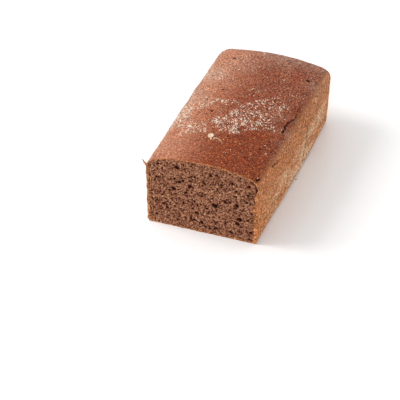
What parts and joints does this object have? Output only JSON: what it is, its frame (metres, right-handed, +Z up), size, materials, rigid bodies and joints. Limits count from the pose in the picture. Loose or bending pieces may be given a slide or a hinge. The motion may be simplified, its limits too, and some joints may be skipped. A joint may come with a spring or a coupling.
{
  "type": "rye bread loaf",
  "caption": "Dark rye tin loaf with a low domed, flour-dusted crust, lying on its flat base, with its first slices cut off to show a close, pored crumb.",
  "frame": {"origin": "middle of the loaf's box, on the surface that its base rests on", "axes": "+Z up, +Y along the loaf from the cut face to the whole end, +X to the right when facing the cut face"},
  "size_m": [0.105, 0.1968, 0.0704],
  "materials": {
    "crust": "matt baked rye crust, red-brown on the dome and orange-tan on the tin sides",
    "crumb": "matt, damp rye crumb with open pores",
    "flour": "matt pale flour grains",
    "bran": "matt pale bran and oat flakes"
  },
  "bodies": {
    "root": {"loaf": "crust"}
  },
  "joints": []
}
